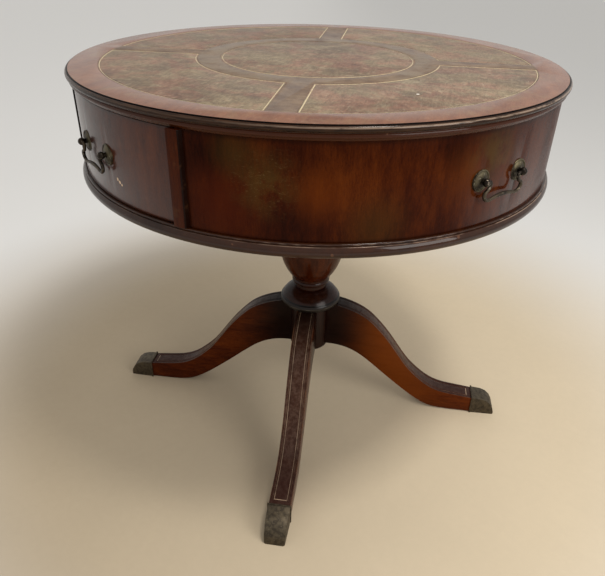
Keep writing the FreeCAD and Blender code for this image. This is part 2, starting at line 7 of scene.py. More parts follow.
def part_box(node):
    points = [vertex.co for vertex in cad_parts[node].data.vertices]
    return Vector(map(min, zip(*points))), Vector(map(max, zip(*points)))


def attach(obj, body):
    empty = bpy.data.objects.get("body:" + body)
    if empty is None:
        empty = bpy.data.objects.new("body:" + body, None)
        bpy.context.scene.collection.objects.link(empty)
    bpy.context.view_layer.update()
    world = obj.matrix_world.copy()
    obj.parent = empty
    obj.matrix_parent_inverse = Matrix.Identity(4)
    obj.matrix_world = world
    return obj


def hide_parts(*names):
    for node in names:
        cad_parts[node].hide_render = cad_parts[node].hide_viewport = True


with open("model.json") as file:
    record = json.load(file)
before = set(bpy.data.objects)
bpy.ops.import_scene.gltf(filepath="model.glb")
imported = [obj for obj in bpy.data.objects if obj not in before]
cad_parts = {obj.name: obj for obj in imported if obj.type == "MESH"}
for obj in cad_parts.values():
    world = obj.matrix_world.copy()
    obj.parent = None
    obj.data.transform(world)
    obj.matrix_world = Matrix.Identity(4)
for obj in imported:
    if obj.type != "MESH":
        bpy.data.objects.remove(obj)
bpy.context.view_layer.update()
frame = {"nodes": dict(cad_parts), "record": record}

nodes = frame["nodes"]
bodyOf = {name: body for body, names in frame["record"]["behaviour"]["bodies"].items() for name in names}
slotOf = {part["node"]: part["material_slot"] for part in frame["record"]["subparts"]}
mm = 0.001
diagonal = math.sqrt(0.5)
quarterTurn = math.pi / 4
print("frame loaded:", len(nodes), "nodes")


class Signal:
    # a socket in a material, so that a + b or 1 - a adds the Math node for it
    def __init__(self, finish, socket):
        self.finish = finish
        self.socket = socket

    def maths(self, operation, *values):
        return self.finish.add("ShaderNodeMath", {"operation": operation}, dict(enumerate(values)))

    def __add__(self, other): return self.maths("ADD", self, other)
    def __radd__(self, other): return self.maths("ADD", other, self)
    def __sub__(self, other): return self.maths("SUBTRACT", self, other)
    def __rsub__(self, other): return self.maths("SUBTRACT", other, self)
    def __mul__(self, other): return self.maths("MULTIPLY", self, other)
    def __rmul__(self, other): return self.maths("MULTIPLY", other, self)
    def __gt__(self, other): return self.maths("GREATER_THAN", self, other)
    def __lt__(self, other): return self.maths("LESS_THAN", self, other)
    def __abs__(self): return self.maths("ABSOLUTE", self)

    def lower(self, other): return self.maths("MINIMUM", self, other)
    def higher(self, other): return self.maths("MAXIMUM", self, other)
    def root(self): return self.maths("SQRT", self)

    def ramp(self, low, high, toLow=0.0, toHigh=1.0):
        # smooth step from low to high
        return self.finish.add("ShaderNodeMapRange", {"interpolation_type": "SMOOTHSTEP"}, {
            "Value": self, "From Min": low, "From Max": high, "To Min": toLow, "To Max": toHigh}, "Result")

    def fade(self, low, high):
        # 1 below low, 0 above high
        return self.ramp(low, high, 1.0, 0.0)

    def around(self, middle, reach):
        # 1 within the reach of a middle value, for a thin line
        return abs(self - middle) < reach


class Finish:
    # one material: its nodes and its object coordinates
    def __init__(self, name):
        self.material = bpy.data.materials.new(name)
        self.material.use_nodes = True
        self.tree = self.material.node_tree
        self.tree.nodes.clear()
        self.place = self.add("ShaderNodeTexCoord", output="Object")
        self.x = self.add("ShaderNodeSeparateXYZ", None, {"Vector": self.place}, "X")
        self.y = Signal(self, self.x.socket.node.outputs["Y"])
        self.z = Signal(self, self.x.socket.node.outputs["Z"])

    def add(self, kind, settings=None, values=None, output=0):
        node = self.tree.nodes.new(kind)
        for key, value in (settings or {}).items():
            if key == "stops":
                stops = node.color_ramp.elements
                while len(stops) < len(value):
                    stops.new(0.5)
                for stop, (position, colour) in zip(stops, value):
                    stop.position = position
                    stop.color = (*colour, 1)
            else:
                setattr(node, key, value)
        for key, value in (values or {}).items():
            socket = node.inputs[key]
            if isinstance(value, Signal):
                self.tree.links.new(value.socket, socket)
            elif isinstance(value, (tuple, list)) and len(value) == 3 and socket.type == "RGBA":
                socket.default_value = (*value, 1)
            else:
                socket.default_value = value
        return Signal(self, node.outputs[output])

    def radius(self):
        # distance from the upright axis of the table
        return (self.x * self.x + self.y * self.y).root()

    def near(self, point, reach):
        # 1 at a point on the surface, fading to 0 at the reach
        away = self.add("ShaderNodeVectorMath", {"operation": "DISTANCE"}, {0: self.place, 1: point}, "Value")
        return away.fade(0.0, reach)

    def stretched(self, scale, turn=0.0):
        # object coordinates turned about Z and scaled, for grain along one way
        turned = self.place
        if turn:
            turned = self.add("ShaderNodeVectorRotate", {"rotation_type": "Z_AXIS"}, {
                "Vector": self.place, "Angle": turn})
        return self.add("ShaderNodeMapping", None, {"Vector": turned, "Scale": scale})

    def noise(self, vector, scale, detail, rough, distort=0.0):
        return self.add("ShaderNodeTexNoise", None, {
            "Vector": vector, "Scale": scale, "Detail": detail, "Roughness": rough,
            "Distortion": distort}, "Fac")

    def pattern(self, layer):
        # the noise of a layer, along its grain if it has one
        vector = self.stretched(*layer["grain"]) if "grain" in layer else self.place
        return self.noise(vector, *layer["noise"])

    def mask(self, layer):
        # where a layer of wear shows
        return self.pattern(layer).ramp(*layer["shows"])

    def mix(self, share, first, second):
        node = self.tree.nodes.new("ShaderNodeMix")
        node.data_type = "RGBA"
        for index, value in ((0, share), (6, first), (7, second)):
            if isinstance(value, Signal):
                self.tree.links.new(value.socket, node.inputs[index])
            else:
                node.inputs[index].default_value = (*value, 1) if index else value
        return Signal(self, node.outputs[2])

    def over(self, colour, layer, mask):
        # lays a layer's colour over another by its share of the mask
        return self.mix(mask * layer["share"], colour, layer["colour"])

    def mottled(self, layer):
        # a noise between a dark and a light colour
        return self.mix(self.mask(layer), layer["dark"], layer["light"])

    def chipped(self, shape, grain, chip):
        # the ragged outline of a chip: its shape broken up by a fine grain
        return (shape + (grain - 0.5) * chip["ragged"]) > chip["level"]

    def colours(self, share, stops):
        return self.add("ShaderNodeValToRGB", {"stops": stops}, {"Fac": share}, "Color")

    def bump(self, height, strength, depth):
        return self.add("ShaderNodeBump", None, {
            "Height": height, "Strength": strength, "Distance": depth}, "Normal")

    def close(self, values):
        shader = self.add("ShaderNodeBsdfPrincipled", None, values, "BSDF")
        out = self.tree.nodes.new("ShaderNodeOutputMaterial")
        self.tree.links.new(shader.socket, out.inputs["Surface"])
        return self.material


def shaded(colour, shade):
    return tuple(c * shade for c in colour)


# noise is scale, detail, roughness and distortion; shows is the range of it that is seen
fineGrain = (420.0, 2.0, 0.5)
mahoganyLook = {
    "dark": (0.012, 0.0018, 0.0004), "deep": (0.030, 0.0048, 0.0008), "red": (0.055, 0.0105, 0.0013),
    "gold": (0.100, 0.0225, 0.0024), "stops": (0.34, 0.46, 0.56, 0.72),
    "roughness": 0.24, "bend": 1.09, "coat": 0.30, "coatRoughness": 0.07, "coatBend": 1.27,
    "cloud": 0.36, "cloudNoise": (4.0, 3.0, 0.55, 0.8), "streak": 0.30, "streakNoise": (24.0, 5.0, 0.6, 0.35),
    "streakRough": 0.08, "fine": 0.20, "fineNoise": (150.0, 3.0, 0.6), "fineHeight": 0.35,
    "pore": 0.30, "poreShows": (0.37, 0.45), "bump": 0.22, "bumpDepth": 0.4 * mm,
    "handled": {"noise": (34.0, 4.0, 0.6), "shows": (0.5, 0.75)}, "handledRough": 0.10,
}


def mahogany(name, scale, turn=0.0, shade=1.0, figure=1.0, look=mahoganyLook, tone=None, wearAndShading=None, coat=None):
    # polished mahogany; the scale stretches the grain, the turn lays it along the piece
    finish = Finish(name)
    grain = finish.stretched(scale, turn)
    cloud = finish.noise(grain, *look["cloudNoise"])
    streak = finish.noise(grain, *look["streakNoise"])
    fine = finish.noise(grain, *look["fineNoise"])
    pores = finish.noise(grain, *fineGrain).fade(*look["poreShows"])
    share = (cloud - 0.5) * (look["cloud"] * figure) + (streak - 0.5) * look["streak"]
    share = share + (fine - 0.5) * look["fine"] + 0.5
    if tone:
        share = tone(finish, share)
    tones = [shaded(look[key], shade) for key in ("dark", "deep", "red", "gold")]
    colour = finish.colours(share, list(zip(look["stops"], tones)))
    colour = finish.mix(pores * look["pore"], colour, tones[0])
    rough = look["roughness"] + streak * look["streakRough"]
    rough = rough + finish.mask(look["handled"]) * look["handledRough"]
    height = fine * look["fineHeight"] - pores
    # the piece's wear, with any painted light and shade
    if wearAndShading:
        colour, rough, height = wearAndShading(finish, colour, rough, height)
    return finish.close({
        "Base Color": colour, "Roughness": rough,
        "Normal": finish.bump(height, look["bump"], look["bumpDepth"]), "IOR": look["bend"],
        "Coat IOR": look["coatBend"], "Coat Weight": coat(finish) if coat else look["coat"],
        "Coat Roughness": look["coatRoughness"]})


# the ends of the frieze's height, and how far the sides of the stiles stand from the middle plane
frieze = {"low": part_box("apron_right")[0][2], "high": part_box("apron_right")[1][2],
          "apron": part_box("stile_front_right")[1][0], "drawer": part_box("stile_front_right")[0][0]}
# painted shade along the top and the bottom of the frieze
friezeShadeAndDirt = {"noise": (90.0, 3.0, 0.6), "low": 0.006, "high": 0.007, "share": 0.75,
              "colour": (0.0070, 0.0017, 0.0005)}


def paintedShadeAndGrime(finish, colour):
    # painted shade along the top of the frieze under the top's overhang and along its bottom above the base
    # moulding, broken up by a mottle like dirt
    patchiness = finish.pattern(friezeShadeAndDirt) * 0.5 + 0.5
    low = finish.z.fade(frieze["low"], frieze["low"] + friezeShadeAndDirt["low"])
    high = finish.z.ramp(frieze["high"] - friezeShadeAndDirt["high"], frieze["high"])
    return finish.over(colour, friezeShadeAndDirt, low.higher(high) * patchiness), patchiness


apronMarks = {
    # point, reach and amount of the lighter and darker passages: veneer figure, and painted light and shade,
    # lighter to the right, darker to the left and under the top
    "glow": (((0.322, -0.234, 0.655), 0.070, 0.085), ((0.222, -0.328, 0.645), 0.09, -0.05),
             ((0.386, -0.095, 0.650), 0.080, 0.07), ((0.300, -0.262, 0.600), 0.07, -0.10),
             ((0.352, -0.185, 0.640), 0.10, 0.05), ((0.300, -0.262, 0.690), 0.05, -0.08),
             ((0.208, -0.338, 0.690), 0.06, -0.08), ((0.397, -0.030, 0.620), 0.07, 0.06),
             ((0.388, -0.086, 0.690), 0.04, -0.10)),
    # point, reach, colour and amount of its red, olive and gold stains
    "tints": (((0.2290, -0.3250, 0.620), 0.075, (0.052, 0.0068, 0.0009), 0.75),
              ((0.2430, -0.3140, 0.688), 0.045, (0.030, 0.0180, 0.0040), 0.60),
              ((0.3170, -0.2400, 0.640), 0.050, (0.092, 0.0180, 0.0010), 0.55),
              ((0.3550, -0.1780, 0.600), 0.060, (0.034, 0.0170, 0.0035), 0.50),
              ((0.3930, -0.0600, 0.660), 0.060, (0.072, 0.0170, 0.0020), 0.50)),
    "scuff": (0.2729, -0.2890, 0.6525), "dull": (0.3970, -0.0200, 0.6750),
    "rubbed": {"reach": 0.060, "noise": (36.0, 4.0, 0.6), "shows": (0.36, 0.60), "share": 0.6,
               "colour": (0.060, 0.033, 0.0070), "rough": 0.1},
    "scratches": {"reach": 0.065, "grain": ((1.0, 1.0, 5.0), 0.5), "noise": (120.0, 3.0, 0.7, 1.6),
                  "shows": (0.58, 0.68), "share": 0.38, "colour": (0.19, 0.12, 0.050), "rough": 0.2},
    # painted shade in the corners where the stiles stand proud of the apron
    "corner": {"from": 0.0010, "to": 0.0045, "share": 0.9, "colour": (0.0050, 0.0013, 0.0005)},
    "coat": {"middle": 0.03, "range": (0.02, 0.12), "ends": (0.95, 0.08)},
}


def apronToneAndLight(finish, share):
    # veneer figure together with painted light and shade
    for point, reach, amount in apronMarks["glow"]:
        share = share + finish.near(point, reach) * amount
    return share


def apronWearAndShade(finish, colour, rough, height):
    # dull rubbed places with fine pale scratches, painted shade along the top and the bottom, and painted shade
    # in the corners where the stiles stand proud
    marks = apronMarks
    rubs, scratches, corner = marks["rubbed"], marks["scratches"], marks["corner"]
    for point, reach, tint, amount in marks["tints"]:
        colour = finish.mix(finish.near(point, reach) * amount, colour, tint)
    rubbed = finish.near(marks["scuff"], rubs["reach"]).higher(finish.near(marks["dull"], rubs["reach"]))
    rubbed = rubbed * finish.mask(rubs)
    scratched = finish.near(marks["scuff"], scratches["reach"]) * finish.mask(scratches)
    colour = finish.over(colour, rubs, rubbed)
    colour = finish.over(colour, scratches, scratched)
    colour, patchiness = paintedShadeAndGrime(finish, colour)
    # painted shade beside the stiles
    cornered = abs(finish.x).fade(frieze["apron"] + corner["from"], frieze["apron"] + corner["to"]) * patchiness
    colour = finish.over(colour, corner, cornered)
    return colour, rough + scratched * scratches["rough"] + rubbed * rubs["rough"], height


def apronCoat(finish):
    # glossy round the pull, the polish rubbed away on both sides of it
    coat = apronMarks["coat"]
    return abs(finish.y - coat["middle"]).ramp(*coat["range"], *coat["ends"])


drawerMarks = {
    # right, up and reach of the three touching spots that make the chip
    "chip": {"at": (0.0626, -0.3915, 0.6092), "ragged": 1.0, "level": 0.45, "colour": (0.62, 0.42, 0.26),
             "spots": ((-0.0050, 0.0042, 0.0042), (0.0, 0.0010, 0.0042), (0.0045, -0.0020, 0.0036)),
             "rough": 0.3, "depth": 4.0},
    "scratches": {"grain": ((1.0, 1.0, 6.0), 0.8), "noise": (90.0, 3.0, 0.7, 1.2), "shows": (0.66, 0.72),
                  "share": 0.25, "colour": (0.20, 0.105, 0.060)},
    # painted shade on the drawer front's ends by the stiles
    "ends": {"reach": 0.006, "share": 0.7, "colour": (0.0070, 0.0018, 0.0006)},
}


def drawerWearAndShade(finish, colour, rough, height):
    # a bare chip, a few light scratches, painted shade along the top and the bottom, and painted shade on the
    # ends where they meet the stiles
    chip, scratches, ends = (drawerMarks[key] for key in ("chip", "scratches", "ends"))
    x, y, z = chip["at"]
    first, second, third = (
        finish.near((x + right, y, z + up), reach) for right, up, reach in chip["spots"])
    grain = finish.noise(finish.place, *fineGrain)
    bare = finish.chipped(first.higher(second).higher(third), grain, chip)
    colour = finish.over(colour, scratches, finish.mask(scratches))
    colour, patchiness = paintedShadeAndGrime(finish, colour)
    endShade = abs(finish.x).ramp(frieze["drawer"] - ends["reach"], frieze["drawer"]) * patchiness
    colour = finish.over(colour, ends, endShade)
    colour = finish.mix(bare, colour, chip["colour"])
    return colour, rough + bare * chip["rough"], height - bare * chip["depth"]


stileMarks = {
    # painted shade on the stile's sides by the apron and the drawer
    "inside": {"from": 0.0001, "to": 0.0006, "share": 0.92, "colour": (0.0040, 0.0010, 0.0004)},
    "spots": {"noise": (70.0, 3.0, 0.6), "shows": (0.55, 0.75), "share": 0.2, "colour": (0.11, 0.045, 0.016)},
    "front": (0.4010, 0.4032),
}


def stileWearAndShade(finish, colour, rough, height):
    # painted shade on the sides where the stile meets the apron and the drawer, and a few pale spots
    inside, spots = stileMarks["inside"], stileMarks["spots"]
    across = abs(finish.x)
    dark = across.ramp(frieze["apron"] - inside["to"], frieze["apron"] - inside["from"])
    dark = dark.higher(across.fade(frieze["drawer"] + inside["from"], frieze["drawer"] + inside["to"]))
    colour = finish.over(colour, inside, dark)
    return finish.over(colour, spots, finish.mask(spots)), rough, height


def stileCoat(finish):
    # no polish is left on the sides of the stiles
    return finish.radius().ramp(*stileMarks["front"]) * mahoganyLook["coat"]


baseMarks = {
    "chip": {"at": (0.3728, -0.1582, 0.5790), "reach": 0.0065, "ragged": 0.9, "level": 0.48,
             "colour": (0.66, 0.52, 0.38), "rough": 0.3, "depth": 4.0},
    "knock": {"at": (0.3995, -0.0664, 0.5741), "reach": 0.0070, "ragged": 1.1, "level": 0.50, "depth": 3.0},
    "dents": {"noise": (85.0, 2.0, 0.5), "shows": (0.71, 0.74), "outside": 0.4025, "share": 0.5,
              "colour": (0.13, 0.055, 0.026)},
    "olive": {"share": 0.40, "colour": (0.021, 0.0110, 0.0050)},
    "dust": {"noise": (45.0, 5.0, 0.7), "shows": (0.50, 0.75), "share": 0.25, "colour": (0.060, 0.033, 0.021)},
    # a painted highlight along the moulding's bead
    "line": {"radius": 0.4015, "half": 0.0006, "noise": (22.0, 3.0, 0.6), "shows": (0.40, 0.60),
             "from": (0.20, 0.38, 0.10, 0.45), "colour": (0.36, 0.25, 0.18)},
}


def baseWearAndHighlight(finish, colour, rough, height):
    # a bare chip, a deeper knock, small dents, dust, and a painted highlight line round the moulding, stronger
    # towards the right
    chip, knock, dents, olive, dust, line = baseMarks.values()
    radius = finish.radius()
    grain = finish.noise(finish.place, *fineGrain)
    bare = finish.chipped(finish.near(chip["at"], chip["reach"]), grain, chip)
    knocked = finish.chipped(finish.near(knock["at"], knock["reach"]), grain, knock)
    dented = finish.mask(dents) * (radius > dents["outside"])
    rubbed = radius.around(line["radius"], line["half"]) * finish.mask(line)
    colour = finish.mix(olive["share"], colour, olive["colour"])
    colour = finish.over(colour, dust, finish.mask(dust))
    # the painted highlight, stronger towards the right
    colour = finish.mix(rubbed * finish.x.ramp(*line["from"]), colour, line["colour"])
    colour = finish.over(colour, dents, dented.higher(knocked))
    colour = finish.mix(bare, colour, chip["colour"])
    height = height - bare * chip["depth"] - dented - knocked * knock["depth"]
    return colour, rough + bare * chip["rough"], height


topMarks = {
    # radii of the rim's edge, of the leathers' outer end and of the ring band, and the height of the edge
    "rim": (0.4020, 0.4050), "inside": (0.3570, 0.3576), "ring": (0.1990, 0.2030), "side": (0.7275, 0.7288),
    "rimRough": 0.12, "dustRough": 0.1,
    "dust": {"noise": (60.0, 5.0, 0.7), "shows": (0.52, 0.78), "share": 0.35, "colour": (0.34, 0.20, 0.13)},
    "scratches": {"grain": ((1.0, 9.0, 1.0), 0.7), "noise": (70.0, 3.0, 0.7, 1.0), "shows": (0.66, 0.72),
                  "share": 0.3, "colour": (0.42, 0.28, 0.18)},
    "mottle": {"noise": (24.0, 5.0, 0.68, 0.6)},
    "olive": {"shows": (0.52, 0.66), "share": 0.40, "colour": (0.205, 0.122, 0.058)},
    "russet": {"shows": (0.34, 0.46, 1.0, 0.0), "share": 0.35, "colour": (0.120, 0.034, 0.020)},
    "bands": {"noise": (26.0, 4.0, 0.65), "shows": (0.35, 0.65), "share": 0.85,
              "dark": (0.090, 0.058, 0.036), "light": (0.185, 0.128, 0.078)},
    "ringBand": {"shows": (0.38, 0.62, 0.05, 0.70), "colour": (0.185, 0.142, 0.096)},
    # painted shade in the quirk below the rim's flat
    "quirk": {"radius": 0.4028, "half": 0.0013, "above": 0.7265, "colour": (0.0030, 0.0010, 0.0006)},
}
noseMarks = {
    "tone": {"grain": ((3.0, 3.0, 30.0),), "noise": (12.0, 3.0, 0.6)},
    "shows": (0.35, 0.65), "dark": (0.013, 0.0052, 0.0020), "light": (0.034, 0.0135, 0.0050),
    "bead": {"level": (0.7185, 0.7200), "share": 0.8, "colour": (0.046, 0.0105, 0.0026)},
    "knocks": {"noise": (75.0, 2.0, 0.6), "shows": (0.70, 0.74), "share": 0.5, "colour": (0.20, 0.095, 0.045)},
    # a painted highlight along the arris of the nose
    "arris": {"level": 0.7266, "half": 0.0009, "outside": 0.4038, "shows": (0.30, 0.50),
              "from": (0.22, 0.38, 0.06, 0.50), "colour": (0.36, 0.265, 0.20)},
}
topPolish = {"full": 0.56, "rim": (0.4000, 0.4030), "lostRim": 0.19, "lostInside": 0.36, "lostQuirk": 0.9}


def quirkLine(finish):
    # painted shade in the step between the flat of the rim and its nose
    quirk = topMarks["quirk"]
    return finish.radius().around(quirk["radius"], quirk["half"]) * (finish.z > quirk["above"])


def noseColourAndHighlight(finish):
    # the moulded edge, dark with old polish, with a redder bead below and a painted highlight along the arris,
    # stronger towards the right
    bead, knocks, arris = noseMarks["bead"], noseMarks["knocks"], noseMarks["arris"]
    tone = finish.pattern(noseMarks["tone"])
    colour = finish.mix(tone.ramp(*noseMarks["shows"]), noseMarks["dark"], noseMarks["light"])
    colour = finish.over(colour, bead, finish.z.fade(*bead["level"]))
    colour = finish.over(colour, knocks, finish.mask(knocks))
    # the painted highlight on the arris
    worn = finish.z.around(arris["level"], arris["half"]) * (finish.radius() > arris["outside"])
    worn = worn * tone.ramp(*arris["shows"]) * finish.x.ramp(*arris["from"])
    return finish.mix(worn, colour, arris["colour"])


def topWearShadeAndHighlight(finish, colour, rough, height):
    # the rubbed and dusty rim, the bands between the leathers, the nose with its painted highlight, and painted
    # shade in the quirk
    marks = topMarks
    radius = finish.radius()
    edge = radius.ramp(*marks["rim"]).higher(finish.z.fade(*marks["side"]))
    dust = finish.mask(marks["dust"])
    colour = finish.over(colour, marks["dust"], dust)
    colour = finish.over(colour, marks["scratches"], finish.mask(marks["scratches"]))
    mottle = finish.pattern(marks["mottle"])
    for key in ("olive", "russet"):
        colour = finish.over(colour, marks[key], mottle.ramp(*marks[key]["shows"]))
    inside = radius.fade(*marks["inside"]) * (1 - edge)
    colour = finish.mix(inside * marks["bands"]["share"], colour, finish.mottled(marks["bands"]))
    ring = radius.fade(*marks["ring"]) * inside * mottle.ramp(*marks["ringBand"]["shows"])
    colour = finish.mix(ring, colour, marks["ringBand"]["colour"])
    colour = finish.mix(edge, colour, noseColourAndHighlight(finish))
    # painted shade in the quirk
    colour = finish.mix(quirkLine(finish), colour, marks["quirk"]["colour"])
    return colour, rough - edge * marks["rimRough"] + dust * marks["dustRough"], height


def topCoat(finish):
    # the rim is polished, the bands between the leathers and the moulded edge less so
    edge = finish.radius().ramp(*topPolish["rim"]).higher(finish.z.fade(*topMarks["side"]))
    inside = finish.radius().fade(*topMarks["inside"])
    coat = topPolish["full"] - edge * topPolish["lostRim"] - inside * topPolish["lostInside"]
    return coat * (1 - quirkLine(finish) * topPolish["lostQuirk"])


legMarks = {
    "top": (0.25, 0.45), "topRough": 0.06,
    "cover": {"noise": (110.0, 4.0, 0.7), "shows": (0.35, 0.70), "share": 0.85,
              "dark": (0.038, 0.017, 0.011), "light": (0.094, 0.056, 0.040)},
    # painted light on the sides of the rear right leg
    "sideLight": {"from": (0.07, 0.20), "to": (0.28, 0.46, 1.0, 0.05), "share": 0.60,
             "colour": (0.165, 0.0370, 0.0030)},
    "toe": {"reach": (0.20, 0.33), "share": 0.6, "colour": (0.022, 0.010, 0.0095)},
    # the root under the hub: dark stain and painted shade under the drum
    "root": {"reach": (0.055, 0.175), "share": 0.94, "colour": (0.0050, 0.0018, 0.0012)},
    "rubbed": {"noise": (30.0, 4.0, 0.7)},
    "outer": {"at": 0.0148, "half": 0.00035, "shows": (0.40, 0.60, 0.15, 0.65), "colour": (0.30, 0.185, 0.115)},
    "inner": {"at": 0.0116, "half": 0.00055, "shows": (0.36, 0.58, 0.35, 0.95), "colour": (0.40, 0.29, 0.20)},
    "end": 0.3555, "lap": 0.0006,
    "arris": {"across": (0.0182, 0.0192), "up": 0.15, "shows": (0.45, 0.65), "share": 0.5,
              "colour": (0.26, 0.105, 0.040)},
}


def legWearLightAndShade(flip):
    # dark tops with pale rubbed string lines, a root under the hub darkened by dark stain and painted shade,
    # and painted light on the sides of the rear right leg
    def apply(finish, colour, rough, height):
        marks = legMarks
        sideLight, toe, root, arris = (marks[key] for key in ("sideLight", "toe", "root", "arris"))
        outer, inner = marks["outer"], marks["inner"]
        across = abs((finish.x + finish.y * flip) * diagonal)
        reach = finish.radius()
        facing = finish.add("ShaderNodeTexCoord", output="Normal")
        up = finish.add("ShaderNodeSeparateXYZ", None, {"Vector": facing}, "Z")
        top = up.ramp(*marks["top"])
        rubbed = finish.pattern(marks["rubbed"])
        behind = finish.x + finish.y
        # painted light on the sides of the rear right leg
        glow = behind.ramp(*sideLight["from"]) * behind.ramp(*sideLight["to"]) * (1 - top)
        colour = finish.over(colour, sideLight, glow)
        colour = finish.mix(top * marks["cover"]["share"], colour, finish.mottled(marks["cover"]))
        colour = finish.over(colour, toe, top * reach.ramp(*toe["reach"]))
        # dark stain and painted shade at the root under the hub
        colour = finish.over(colour, root, reach.fade(*root["reach"]))
        shown = top * (reach < marks["end"] + marks["lap"])
        closing = reach.around(marks["end"], inner["half"]) * (across < inner["at"]) * top
        string = (across.around(inner["at"], inner["half"]) * shown + closing).lower(1.0)
        line = across.around(outer["at"], outer["half"]) * shown
        colour = finish.mix(line * rubbed.ramp(*outer["shows"]), colour, outer["colour"])
        colour = finish.mix(string * rubbed.ramp(*inner["shows"]), colour, inner["colour"])
        bare = across.ramp(*arris["across"]) * (up > arris["up"]) * rubbed.ramp(*arris["shows"])
        return finish.over(colour, arris, bare), rough + top * marks["topRough"], height
    return apply


collarMarks = {
    "step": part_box("collar")[0][2] + 0.0145,
    "turning": {"grain": ((1.0, 1.0, 9.0),), "noise": (60.0, 4.0, 0.7), "shows": (0.50, 0.70), "share": 0.6,
                "colour": (0.030, 0.013, 0.0115)},
    "ring": {"below": (0.0020, 0.0005), "share": 0.75, "colour": (0.0105, 0.0095, 0.0075)},
    # a painted highlight line round the ring
    "line": {"below": 0.0068, "half": 0.0008, "shows": (0.40, 0.55), "share": 0.5,
             "colour": (0.105, 0.090, 0.068)},
    # painted shade in the quirk between the dome and its ring
    "quirk": {"half": 0.0013, "outside": 0.0550, "share": 0.95, "colour": (0.0012, 0.0008, 0.0007)},
}


def collarWearShadeAndHighlight(finish, colour, rough, height):
    # painted shade in the quirk between the dome and its ring, turning marks, and a painted highlight line
    # round the ring
    step, turning, ring, line, quirk = collarMarks.values()
    streaks = finish.pattern(turning)
    under = finish.z.fade(*(step - below for below in ring["below"]))
    rubbed = finish.z.around(step - line["below"], line["half"]) * streaks.ramp(*line["shows"])
    groove = finish.z.around(step, quirk["half"]) * (finish.radius() > quirk["outside"])
    colour = finish.over(colour, turning, streaks.ramp(*turning["shows"]))
    colour = finish.over(colour, ring, under)
    colour = finish.over(colour, line, rubbed)
    return finish.over(colour, quirk, groove), rough, height - groove


columnFoot = {"low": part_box("collar")[1][2] + 0.018, "high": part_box("collar")[1][2] + 0.036, "share": 0.8,
              "colour": (0.012, 0.0035, 0.0022)}


def columnFootDark(finish, colour, rough, height):
    # the foot of the column is darker
    foot = finish.z.fade(columnFoot["low"], columnFoot["high"])
    return finish.over(colour, columnFoot, foot), rough, height


leatherLook = {
    "cloud": (7.0, 4.0, 0.6, 0.9), "blotch": (24.0, 5.0, 0.68, 0.5), "fleck": (90.0, 3.0, 0.6),
    "cloudShare": 0.40, "blotchShare": 0.40, "fleckShare": 0.20,
    "olive": ((0.34, (0.084, 0.053, 0.034)), (0.45, (0.150, 0.106, 0.065)), (0.55, (0.222, 0.170, 0.105)),
              (0.68, (0.318, 0.258, 0.170))),
    "russet": ((0.34, (0.104, 0.046, 0.031)), (0.45, (0.186, 0.096, 0.064)), (0.55, (0.258, 0.152, 0.100)),
               (0.68, (0.340, 0.240, 0.168))),
    "tint": {"noise": (17.0, 5.0, 0.68, 0.6), "shows": (0.40, 0.62)},
    "pale": {"shows": (0.58, 0.72), "share": 0.30, "colour": (0.38, 0.31, 0.22)},
    "crease": {"noise": (30.0, 6.0, 0.75, 1.2), "width": 0.030, "share": 0.55, "colour": (0.060, 0.040, 0.026),
               "depth": 0.6},
    "wrinkles": {"grain": ((1.0, 5.0, 1.0), 0.9), "noise": (55.0, 5.0, 0.72)},
    "hollowShade": {"shows": (0.38, 0.50, 1.0, 0.0), "share": 0.34, "colour": (0.090, 0.062, 0.042)},
    "ridgeHighlight": {"shows": (0.52, 0.64), "share": 0.24, "colour": (0.30, 0.245, 0.170)},
    "rub": {"grain": ((1.0, 6.0, 1.0), 0.9), "noise": (60.0, 3.0, 0.7, 1.0), "shows": (0.64, 0.72),
            "share": 0.35, "colour": (0.45, 0.37, 0.27)},
    "gold": {"noise": (120.0, 4.0, 0.7), "shows": (0.34, 0.46), "least": 0.30, "more": 0.60,
             "colour": (0.70, 0.58, 0.36), "metal": 0.35, "smooth": 0.1},
    "speck": {"at": (0.2778, -0.0457, 0.7300), "reach": 0.0045, "ragged": 0.6, "level": 0.5,
              "colour": (0.80, 0.74, 0.66)},
    "roughness": 0.36, "blotchRough": 0.2, "pebble": 620.0, "bump": 0.35, "bumpDepth": 0.3 * mm, "bend": 1.30,
}
toolingLines = {"outer": 0.3548, "inner": 0.2040, "disc": 0.1600, "band": 0.0220, "thin": 0.0005,
                "wide": 0.0008, "lap": 0.0006}


def tooling(finish):
    # the gold lines: two arcs and two straight sides on each quarter, and a ring on the centre
    outer, inner, disc, band, thin, wide, lap = toolingLines.values()
    radius = finish.radius()
    first = abs((finish.x + finish.y) * diagonal)
    second = abs((finish.x - finish.y) * diagonal)
    clear = (first > band - lap) * (second > band - lap)
    arcs = radius.around(outer, thin) + radius.around(inner, thin)
    within = (radius > inner - lap) * (radius < outer + lap)
    straight = first.around(band, wide) * (second > band - mm) + second.around(band, wide) * (first > band - mm)
    return (arcs * clear + straight * within + radius.around(disc, thin)).lower(1.0)


